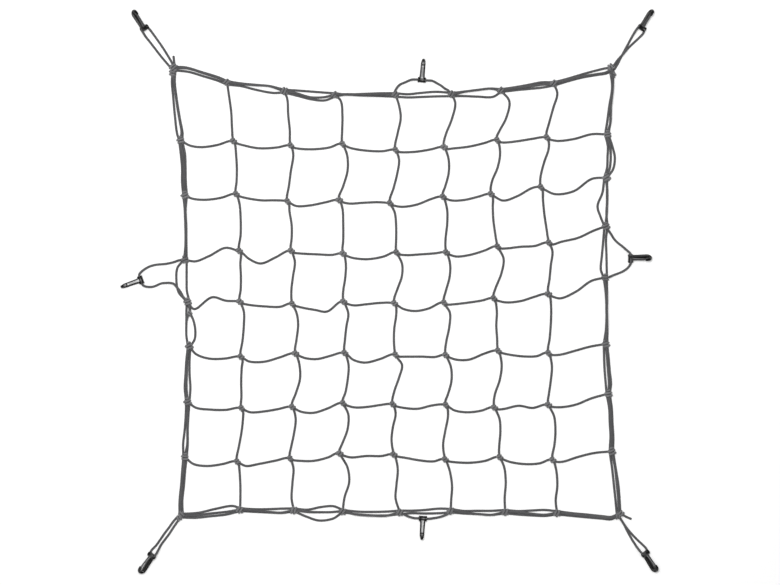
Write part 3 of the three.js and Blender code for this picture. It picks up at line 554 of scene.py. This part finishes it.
def add_node(tree, kind, inputs=(), **settings):
    made = tree.nodes.new(kind)
    for key, value in settings.items():
        setattr(made, key, value)
    fill(tree, made, inputs)
    return made


def maths(tree, operation, *values):
    return add_node(tree, "ShaderNodeMath", values, operation=operation).outputs[0]


def noise(tree, scale, detail):
    coordinates = add_node(tree, "ShaderNodeTexCoord").outputs["Object"]
    return add_node(tree, "ShaderNodeTexNoise", (coordinates, None, scale, detail)).outputs[0]


def blend(tree, factor, first, second):
    """The colour between two, by the factor."""
    mix = add_node(tree, "ShaderNodeMix", data_type="RGBA")
    fill(tree, mix, {"Factor": factor, 6: (*first, 1), 7: (*second, 1)})
    return mix.outputs[2]


def relief(tree, height, strength, depth):
    """A normal that rises and falls with the height, by the depth in metres."""
    bump = {"Strength": strength, "Distance": depth, "Height": height}
    return add_node(tree, "ShaderNodeBump", bump).outputs[0]


CARRIERS = 8                     # strands of the sheath in each of its two directions
BRAID_PITCH = 3.2                # cord diameters to one full turn of a strand
BRAID_DEPTH = 0.00022            # in metres
FUZZ_SCALE = 1400.0              # stray fibres, to a metre
WEAR_SCALE = 24.0                # dusty stretches, to a metre


def braid_height(tree, round_it, along_it):
    """Strands that run both ways round the cord and pass over and under each other by turns."""
    turns = maths(tree, "MULTIPLY", round_it, CARRIERS)
    climb = maths(tree, "MULTIPLY", along_it, CARRIERS / BRAID_PITCH)
    right = maths(tree, "ADD", turns, climb)
    left = maths(tree, "SUBTRACT", turns, climb)

    def crown(value):
        """Height across one strand: nought at its edges and one along its middle."""
        share = maths(tree, "FRACT", value)
        return maths(tree, "SINE", maths(tree, "MULTIPLY", share, math.pi))

    cell = maths(tree, "ADD", maths(tree, "FLOOR", right), maths(tree, "FLOOR", left))
    over = maths(tree, "ABSOLUTE", maths(tree, "MODULO", cell, 2.0))
    under = maths(tree, "SUBTRACT", 1.0, over)
    return maths(tree, "ADD", maths(tree, "MULTIPLY", crown(right), over),
                 maths(tree, "MULTIPLY", crown(left), under))


def braid_material(name, base, lit_crown_and_dust):
    """A braided sheath on the cord's own map: u round it, v along it in cord diameters."""
    material, tree, shader = new_material(name)
    chart = add_node(tree, "ShaderNodeUVMap", uv_map="UVMap").outputs[0]
    round_it, along_it, _ = add_node(tree, "ShaderNodeSeparateXYZ", (chart,)).outputs
    height = braid_height(tree, round_it, along_it)
    fuzz = noise(tree, FUZZ_SCALE, 3.0)
    wear = noise(tree, WEAR_SCALE, 3.0)
    # Colour: darker in the grooves between the strands and paler on their crowns, a painted shade and
    # highlight; paler again where the noise lays dust.
    shade = maths(tree, "ADD", maths(tree, "MULTIPLY", height, 0.5), maths(tree, "MULTIPLY", wear, 0.5))
    raised = maths(tree, "ADD", height, maths(tree, "MULTIPLY", fuzz, 0.35))
    fill(tree, shader, {
        "Base Color": blend(tree, shade, base, lit_crown_and_dust),
        "Roughness": maths(tree, "ADD", 0.72, maths(tree, "MULTIPLY", fuzz, 0.2)),
        "Normal": relief(tree, raised, 0.8, BRAID_DEPTH),
        "Sheen Weight": 0.12,
        "Sheen Roughness": 0.5,
        "Specular IOR Level": 0.25,
    })
    return material


GRAIN_SCALE = 2600.0             # the mould's grain, to a metre
GRAIN_DEPTH = 0.0001             # in metres
CLOUD_SCALE = 140.0              # uneven gloss, to a metre
SHARP_EDGE_RANGE = (0.52, 0.62)            # how sharp an edge is where it starts to pale and where it is palest
SHARP_EDGE_GAIN = 4                  # how many times paler the sharpest edges are


def moulded_material(name, base, gloss):
    """Moulded plastic with a fine spark-eroded grain, paler towards its sharpest edges."""
    material, tree, shader = new_material(name)
    grain = noise(tree, GRAIN_SCALE, 2.0)
    cloud = noise(tree, CLOUD_SCALE, 3.0)
    edge = add_node(tree, "ShaderNodeNewGeometry").outputs["Pointiness"]
    edge_paling = add_node(tree, "ShaderNodeMapRange", (edge, *SHARP_EDGE_RANGE)).outputs[0]
    paler = [SHARP_EDGE_GAIN * share for share in base]
    fill(tree, shader, {
        "Base Color": blend(tree, maths(tree, "MULTIPLY", edge_paling, cloud), base, paler),
        "Roughness": maths(tree, "ADD", 0.27, maths(tree, "MULTIPLY", cloud, 0.16)),
        "Normal": relief(tree, grain, 0.35, GRAIN_DEPTH),
        "Specular IOR Level": gloss,
    })
    return material


SHEATH = braid_material("cord_braided_sheath", (0.022, 0.022, 0.023), (0.16, 0.16, 0.166))
# The knots' sheath is a paler copy of the cord's sheath: a painted highlight on the knots' tops.
PAINTED_LIT_KNOT_SHEATH = braid_material("knot_sheath_painted_lighter", (0.024, 0.024, 0.025), (0.33, 0.33, 0.34))
MOULDED = moulded_material("hook_moulded_black", (0.003, 0.003, 0.0032), 0.6)
# The tongue is a paler, glossier copy of the hook's black plastic: a painted highlight, as if lit from
# above.
PAINTED_LIT_TONGUE = moulded_material("tongue_plastic_painted_lighter", (0.048, 0.048, 0.05), 1.0)


# ---------------------------------------------------------------- cords

def line_frames(line):
    """At each point of a line: the way along it, the way most nearly up, and the way across."""
    tangents = np.gradient(line, axis=0)
    tangents /= np.linalg.norm(tangents, axis=1)[:, None]
    ups = np.array([0.0, 0.0, 1.0]) - tangents * tangents[:, 2:]
    ups /= np.linalg.norm(ups, axis=1)[:, None]
    return tangents, ups, np.cross(tangents, ups)


def skin_rings(line):
    """Each ring of a cord's skin: the point that it is on, its shift along the line and its radius."""
    radius = CORD / 2
    rings = [(0, -radius * out, radius * share) for out, share in DOME]
    rings += [(index, 0, radius) for index in range(len(line))]
    return rings + [(len(line) - 1, radius * out, radius * share) for out, share in reversed(DOME)]


def skin_faces(lengthwise):
    """The faces between rings and over both ends, and the map's u and v at each of their corners."""
    sides = CORD_SIDES
    faces = []
    maps = []
    for ring in range(len(lengthwise) - 1):
        for side in range(sides):
            after = (side + 1) % sides
            faces.append((ring * sides + side, ring * sides + after,
                          (ring + 1) * sides + after, (ring + 1) * sides + side))
            low = side / sides
            high = (side + 1) / sides
            maps += [(low, lengthwise[ring]), (high, lengthwise[ring]),
                     (high, lengthwise[ring + 1]), (low, lengthwise[ring + 1])]
    last = (len(lengthwise) - 1) * sides
    faces.append(tuple(reversed(range(sides))))
    faces.append(tuple(range(last, last + sides)))
    maps += [(side / sides, lengthwise[0]) for side in reversed(range(sides))]
    maps += [(side / sides, lengthwise[-1]) for side in range(sides)]
    return faces, maps


def tube_mesh(name, line):
    """A round skin on a line, with domed ends and its own map."""
    tangents, ups, across = line_frames(line)
    steps = np.linalg.norm(np.diff(line, axis=0), axis=1)
    along = np.concatenate([[0], np.cumsum(steps)])
    angles = 2 * math.pi * np.arange(CORD_SIDES) / CORD_SIDES
    vertices = []
    lengthwise = []
    for index, shift, radius in skin_rings(line):
        centre = line[index] + tangents[index] * shift
        circle = np.outer(np.cos(angles), ups[index]) + np.outer(np.sin(angles), across[index])
        vertices.append(centre + radius * circle)
        lengthwise.append((along[index] + shift) / CORD)
    faces, maps = skin_faces(lengthwise)
    mesh = bpy.data.meshes.new(name)
    mesh.from_pydata((np.vstack(vertices) * MM).tolist(), [], faces)
    layer = mesh.uv_layers.new(name="UVMap")
    layer.data.foreach_set("uv", np.array(maps, dtype=np.float32).ravel())
    mesh.shade_smooth()
    return mesh


def add_piece(name, mesh, material):
    """A finished piece on the net's one body. A mesh that has its finish already is given None."""
    piece = new_object(name, mesh)
    if material is not None:
        mesh.materials.clear()
        mesh.materials.append(material)
    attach(piece, "root")
    return piece


def make_cords(lines):
    """Each cord, with the part that it replaces hidden."""
    for name, line in lines.items():
        piece = add_piece("braided_" + name, tube_mesh("braided_" + name, line), SHEATH)
        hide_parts(name)


# ---------------------------------------------------------------- knots

TURN_STEPS = 18                  # straight steps to one turn of a knot's wrapping
WRAP_SIDES = 10
TUCK = 0.85                      # how far the ends of a wrapping are drawn in
TUCK_POWER = 7.0                 # the higher, the nearer to its ends it starts to draw in
TILT = 0.3                       # greatest sway and roll of a knot, in radians
SIZES = (0.93, 1.07)             # least and greatest size of a knot, as shares of its kind's


def knot_group():
    """A node group with the inputs that each kind of knot is given."""
    tree = bpy.data.node_groups.new("wrapped_knots", "GeometryNodeTree")
    face = tree.interface
    face.new_socket("Geometry", in_out="INPUT", socket_type="NodeSocketGeometry")
    for label in ("Cord", "Turns", "Wide", "High", "Long"):
        face.new_socket(label, in_out="INPUT", socket_type="NodeSocketFloat")
    face.new_socket("Seed", in_out="INPUT", socket_type="NodeSocketInt")
    face.new_socket("Geometry", in_out="OUTPUT", socket_type="NodeSocketGeometry")
    return tree


def wound_line(tree, given):
    """The turns of a knot as a line along X, flattened and drawn in at both ends."""
    coil = add_node(tree, "GeometryNodeCurveSpiral", {
        "Rotations": given["Turns"], "Height": given["Long"], "Resolution": TURN_STEPS,
        "Start Radius": 1.0, "End Radius": 1.0})
    share = add_node(tree, "GeometryNodeSplineParameter").outputs["Factor"]
    from_middle = maths(tree, "SUBTRACT", maths(tree, "MULTIPLY", share, 2.0), 1.0)
    ends = maths(tree, "POWER", maths(tree, "ABSOLUTE", from_middle), TUCK_POWER)
    drawn_in = maths(tree, "SUBTRACT", 1.0, maths(tree, "MULTIPLY", ends, TUCK))
    place = add_node(tree, "GeometryNodeInputPosition").outputs[0]
    x, y, z = add_node(tree, "ShaderNodeSeparateXYZ", (place,)).outputs
    moved = add_node(tree, "ShaderNodeCombineXYZ", (
        maths(tree, "MULTIPLY", maths(tree, "MULTIPLY", x, drawn_in), given["High"]),
        maths(tree, "MULTIPLY", maths(tree, "MULTIPLY", y, drawn_in), given["Wide"]),
        maths(tree, "SUBTRACT", z, maths(tree, "MULTIPLY", given["Long"], 0.5))))
    shaped = add_node(tree, "GeometryNodeSetPosition",
                      {"Geometry": coil.outputs[0], "Position": moved.outputs[0]})
    lying = {"Geometry": shaped.outputs[0], "Rotation": (0, math.radians(90), 0)}
    return add_node(tree, "GeometryNodeTransform", lying).outputs[0]


def captured(tree, label, line, value):
    """A line that keeps a value of its own points, and that value for later nodes."""
    keeper = tree.nodes.new("GeometryNodeCaptureAttribute")
    keeper.capture_items.new("FLOAT", label)
    fill(tree, keeper, {"Geometry": line, label: value})
    return keeper.outputs["Geometry"], keeper.outputs[label]


def wrapped_skin(tree, given, line):
    """A round skin on the turns, with the sheath's own map."""
    length = add_node(tree, "GeometryNodeSplineParameter").outputs["Length"]
    line, along = captured(tree, "Along", line, length)
    radius = maths(tree, "MULTIPLY", given["Cord"], 0.5)
    ring = add_node(tree, "GeometryNodeCurvePrimitiveCircle", {"Radius": radius, "Resolution": WRAP_SIDES})
    turn = add_node(tree, "GeometryNodeSplineParameter").outputs["Factor"]
    section, round_it = captured(tree, "Round", ring.outputs[0], turn)
    skin = add_node(tree, "GeometryNodeCurveToMesh",
                    {"Curve": line, "Profile Curve": section, "Fill Caps": True})
    chart = add_node(tree, "ShaderNodeCombineXYZ", (round_it, maths(tree, "DIVIDE", along, given["Cord"])))
    mapped = add_node(tree, "GeometryNodeStoreNamedAttribute", data_type="FLOAT2", domain="CORNER")
    fill(tree, mapped, {"Geometry": skin.outputs[0], "Name": "UVMap", "Value": chart.outputs[0]})
    return mapped.outputs[0]


def random_value(tree, given, least, most):
    made = add_node(tree, "FunctionNodeRandomValue", data_type="FLOAT")
    fill(tree, made, {"Seed": given["Seed"], 2: least, 3: most})
    return made.outputs[1]


def placed_knots(tree, given, knot):
    """A copy of the knot on each point, turned to that point's heading."""
    heading = add_node(tree, "GeometryNodeInputNamedAttribute", {"Name": "heading"}, data_type="FLOAT")
    sway = random_value(tree, given, -TILT, TILT)
    roll = random_value(tree, given, -TILT, TILT)
    turned = add_node(tree, "ShaderNodeCombineXYZ",
                      {"X": roll, "Z": maths(tree, "ADD", heading.outputs[0], sway)})
    placed = add_node(tree, "GeometryNodeInstanceOnPoints", {
        "Points": given["Geometry"], "Instance": knot, "Rotation": turned.outputs[0],
        "Scale": random_value(tree, given, *SIZES)})
    return placed.outputs[0]


def wrapped_knot_tree(material):
    """Turns of cord wound round the crossing cords, their ends tucked in, one knot a point."""
    tree = knot_group()
    given = tree.nodes.new("NodeGroupInput").outputs
    knot = wrapped_skin(tree, given, wound_line(tree, given))
    real = add_node(tree, "GeometryNodeRealizeInstances", {"Geometry": placed_knots(tree, given, knot)})
    finish = {"Geometry": real.outputs[0], "Material": material}
    finished = add_node(tree, "GeometryNodeSetMaterial", finish).outputs[0]
    add_node(tree, "NodeGroupOutput", (finished,))
    return tree


# Each kind of knot: turns, half width, half height and length of its wrapping, in millimetres.
KNOT_KINDS = {
    "mesh_knots": {"turns": 2.3, "wide": 3.8, "high": 3.7, "long": 11.0, "seed": 7},
    "side_rim_knots": {"turns": 2.5, "wide": 5.5, "high": 4.0, "long": 12.6, "seed": 11},
    "end_rim_knots": {"turns": 2.3, "wide": 5.5, "high": 4.0, "long": 11.6, "seed": 15},
    "corner_knots": {"turns": 2.1, "wide": 4.6, "high": 4.0, "long": 10.2, "seed": 21},
    "round_knot": {"turns": 2.6, "wide": 6.8, "high": 4.6, "long": 13.0, "seed": 33},
    "tie_knot": {"turns": 1.9, "wide": 3.8, "high": 3.7, "long": 9.0, "seed": 27},
}
KNOT_CLEAR = 0.3                 # from the surface to the underside of a knot
KNOT_CORD = 3.9                  # the cord is drawn thinner where it is pulled tight

# Corner knots are two wrappings each: place and heading of the axis, in degrees. At the top left
# one of the two is far rounder.
CORNER_LUMPS = [
    (-399.0, 402.6, 80),
    (411.6, 414.2, 30), (416.4, 400.4, 85),
    (-382.4, -413.4, 60), (-386.0, -419.6, 50),
    (425.6, -416.4, 20), (430.2, -411.8, -50),
]
ROUND_KNOT = (-396.6, 413.0, -35)


def make_knots(name, tree, places):
    """One mesh with a wrapped knot at every place, given as x, y and the heading of its axis."""
    kind = KNOT_KINDS[name]
    points = bpy.data.meshes.new(name + "_places")
    rise = kind["high"] + KNOT_CORD / 2 + KNOT_CLEAR
    points.from_pydata([mm((x, y, rise)) for x, y, _ in places], [], [])
    layer = points.attributes.new("heading", "FLOAT", "POINT")
    layer.data.foreach_set("value", [math.radians(place[2]) for place in places])
    maker = new_object(name + "_maker", points)
    modifier = maker.modifiers.new("knots", "NODES")
    modifier.node_group = tree
    sizes = {"Cord": KNOT_CORD * MM, "Turns": kind["turns"], "Wide": kind["wide"] * MM,
             "High": kind["high"] * MM, "Long": kind["long"] * MM, "Seed": kind["seed"]}
    for item in tree.interface.items_tree:
        if item.in_out == "INPUT" and item.name in sizes:
            modifier[item.identifier] = sizes[item.name]
    mesh = mesh_made_by(maker, name)
    mesh.shade_smooth()
    bpy.data.objects.remove(maker)
    add_piece(name, mesh, None)


# The way that the axis of each kind's wrapping points, in degrees.
HEADINGS = {"mesh": -48, "side": 112, "end": -24, "tie": 80}


def make_all_knots():
    tree = wrapped_knot_tree(PAINTED_LIT_KNOT_SHEATH)
    inner_rows = KNOTS[1:LAST]
    mesh = [knot for row in inner_rows for knot in row[1:LAST]]
    side = [row[at] for row in inner_rows for at in (0, LAST)]
    end = [knot for row in (KNOTS[0], KNOTS[LAST]) for knot in row[1:LAST]]
    make_knots("mesh_knots", tree, [(*knot, HEADINGS["mesh"]) for knot in mesh])
    make_knots("side_rim_knots", tree, [(*knot, HEADINGS["side"]) for knot in side])
    make_knots("end_rim_knots", tree, [(*knot, HEADINGS["end"]) for knot in end])
    make_knots("corner_knots", tree, CORNER_LUMPS)
    make_knots("round_knot", tree, [ROUND_KNOT])
    make_knots("tie_knot", tree, [(*TIE["knot"], HEADINGS["tie"])])


# ---------------------------------------------------------------- hooks

def swept(path, section):
    """Vertices and faces of a closed form: the section carried along stations of a plane path.
    A station is (u, v, width, thickness), and a section point is (outwards, sideways) shares."""
    stations = np.array(path, dtype=float)
    tangents = np.gradient(stations[:, :2], axis=0)
    tangents /= np.linalg.norm(tangents, axis=1)[:, None]
    vertices = []
    for (u, v, width, thick), (tu, tv) in zip(stations, tangents):
        for out, side in section:
            vertices.append((u + tv * out * thick, v - tu * out * thick, side * width))
    count = len(section)
    faces = [(at * count + point, at * count + (point + 1) % count,
              (at + 1) * count + (point + 1) % count, (at + 1) * count + point)
             for at in range(len(stations) - 1) for point in range(count)]
    faces.append(tuple(reversed(range(count))))
    faces.append(tuple(range((len(stations) - 1) * count, len(stations) * count)))
    return vertices, faces


# Half of the spine's section, from the middle of its back to the middle of its front, as shares of
# thickness and width: a raised back rib, two flanges and a channel down each side.
SPINE_HALF = [(0.56, 0.0), (0.56, 0.15), (0.46, 0.2), (0.46, 0.42), (0.36, 0.5), (0.24, 0.5),
              (0.14, 0.3), (-0.16, 0.3), (-0.26, 0.46), (-0.38, 0.46), (-0.48, 0.38), (-0.48, 0.0)]
BLADE_HALF = [(0.5, 0.0), (0.5, 0.38), (0.2, 0.5), (-0.2, 0.5), (-0.5, 0.38), (-0.5, 0.0)]
BOW = {"u": 31.5, "v": 2.4, "radius": 5.5}
BOW_STEPS = 24


def whole_section(half):
    return half + [(out, -side) for out, side in reversed(half[1:-1])]


def hook_stations():
    """Spine, bow and nose: (u, v, width, thickness) along the hook's own plane."""
    stations = [(-1.5, -2.3, 13.2, 4.2), (1.5, -2.5, 12.6, 4.5), (4.5, -2.7, 10.8, 4.9),
                (7.5, -2.8, 9.6, 5.0), (12, -2.9, 9.2, 5.0), (18, -3.0, 9.0, 5.0),
                (24, -3.05, 8.8, 4.9), (28.5, -3.1, 8.6, 4.8)]
    for step in range(BOW_STEPS + 1):
        angle = math.radians(-90 + 180 * step / BOW_STEPS)
        share = abs(math.cos(angle)) ** 1.4
        width = 8.5 - 3.7 * share if step < BOW_STEPS / 2 else 4.8 + 0.5 * (1 - share)
        u = BOW["u"] + BOW["radius"] * math.cos(angle)
        v = BOW["v"] + BOW["radius"] * math.sin(angle)
        stations.append((u, v, width, 4.7 - 0.5 * step / BOW_STEPS))
    return stations + [(29.2, 8.0, 5.2, 4.0), (27.4, 8.1, 4.8, 3.6), (26.5, 8.15, 3.9, 2.6)]


def tongue_stations():
    """The springy tongue that closes the mouth, from the root beside the eye to under the nose."""
    return [(1.5, 2.6, 6.6, 3.0), (4.5, 3.5, 5.6, 2.1), (8, 4.3, 4.6, 1.6), (13, 5.3, 4.2, 1.5),
            (18, 6.2, 4.0, 1.5), (22.5, 6.9, 3.9, 1.6), (25.2, 7.3, 3.8, 2.0), (26.1, 7.4, 3.2, 1.5)]


# The eye's wall, cut along its axis: radius and place along the eye. The bore flares at both mouths.
EYE_PROFILE = [(3.3, -7.5), (4.6, -7.5), (5.1, -7.0), (5.1, -5.9), (4.7, -5.3), (4.7, 5.3), (5.1, 5.9),
               (5.1, 7.0), (4.6, 7.5), (3.3, 7.5), (2.7, 6.4), (2.7, -6.4)]
EYE_STEPS = 36
CREASE = 38                      # an edge of the hook that turns more than this is sharp, in degrees


def eye_form():
    """The barrel across the hook's end, with a flared bore right through."""
    vertices = []
    for step in range(EYE_STEPS):
        angle = 2 * math.pi * step / EYE_STEPS
        vertices += [(radius * math.cos(angle), radius * math.sin(angle), along)
                     for radius, along in EYE_PROFILE]
    count = len(EYE_PROFILE)
    faces = []
    for step in range(EYE_STEPS):
        after = (step + 1) % EYE_STEPS
        for point in range(count):
            onward = (point + 1) % count
            faces.append((step * count + point, after * count + point,
                          after * count + onward, step * count + onward))
    return vertices, faces


def hook_mesh():
    """The moulded hook in its own plane: body, tongue and eye made one."""
    body = plain_object("hook_body", *swept(hook_stations(), whole_section(SPINE_HALF)))
    blade = plain_object("hook_tongue", *swept(tongue_stations(), whole_section(BLADE_HALF)))
    barrel = plain_object("hook_eye", *eye_form())
    for thing in (body, blade, barrel):
        thing.data.materials.append(MOULDED)
        thing.data.materials.append(PAINTED_LIT_TONGUE)
    # The tongue's faces take the second, paler plastic: its painted highlight.
    blade.data.polygons.foreach_set("material_index", [1] * len(blade.data.polygons))
    for other in (blade, barrel):
        joint = body.modifiers.new("join", "BOOLEAN")
        joint.operation = "UNION"
        joint.solver = "EXACT"
        joint.object = other
    mesh = mesh_made_by(body, "snap_hook")
    for thing in (body, blade, barrel):
        bpy.data.objects.remove(thing)
    return mesh


def make_hooks():
    pattern = hook_mesh()
    scale = Matrix.Scale(MM, 4)
    for name, laid in LAID.items():
        mesh = pattern.copy()
        mesh.name = "snap_hook_" + name
        mesh.transform(scale @ laid.matrix() @ Matrix.Scale(1 / MM, 4))
        mesh.shade_smooth()
        mesh.set_sharp_from_angle(angle=math.radians(CREASE))
        piece = add_piece("snap_hook_" + name, mesh, None)
        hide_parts("hook_" + name)


# ---------------------------------------------------------------- floor and light

def make_floor():
    corners = [(-1, -1), (1, -1), (1, 1), (-1, 1)]
    places = [(x * FLOOR_HALF, y * FLOOR_HALF, FLOOR_DROP) for x, y in corners]
    floor = plain_object("pale_floor", places, [(0, 1, 2, 3)])
    material, tree, shader = new_material("pale_floor")
    fill(tree, shader, {
        "Base Color": (0.92, 0.92, 0.92, 1),
        "Roughness": 0.9,
        "Specular IOR Level": 0.0,
        "Emission Color": (1, 1, 1, 1),
        "Emission Strength": FLOOR_GLOW,
    })
    floor.data.materials.append(material)


def make_world():
    """A dim even surround that still shows white behind the net."""
    world = bpy.data.worlds.new("soft_white")
    world.use_nodes = True
    tree = world.node_tree
    seen = add_node(tree, "ShaderNodeLightPath").outputs["Is Camera Ray"]
    strength = add_node(tree, "ShaderNodeMapRange", {"Value": seen, "To Min": SURROUND}).outputs[0]
    fill(tree, tree.nodes["Background"], {"Color": (1, 1, 1, 1), "Strength": strength})
    bpy.context.scene.world = world


def make_soft_box(name, place, size, watts):
    data = bpy.data.lights.new(name, "AREA")
    data.shape = "SQUARE"
    data.size = size
    data.energy = watts
    lamp = new_object(name, data)
    lamp.location = place
    lamp.rotation_euler = (-lamp.location).to_track_quat("-Z", "Y").to_euler()


# Soft boxes: place and size in metres, power in watts. The wide one lays a grey gloss over the
# hooks wherever they face upwards, and the small one draws the crests of the cords.
SOFT_BOXES = [
    {"name": "wide_box", "place": (-0.3, 0.5, 4.4), "size": 4.6, "watts": 110},
    {"name": "small_box", "place": (-0.25, 0.4, 3.3), "size": 0.7, "watts": 62},
]


def make_light():
    make_world()
    for box in SOFT_BOXES:
        make_soft_box(**box)
    bpy.context.scene.view_settings.view_transform = "Standard"


make_cords(plan_cords())
make_all_knots()
make_hooks()
make_floor()
make_light()
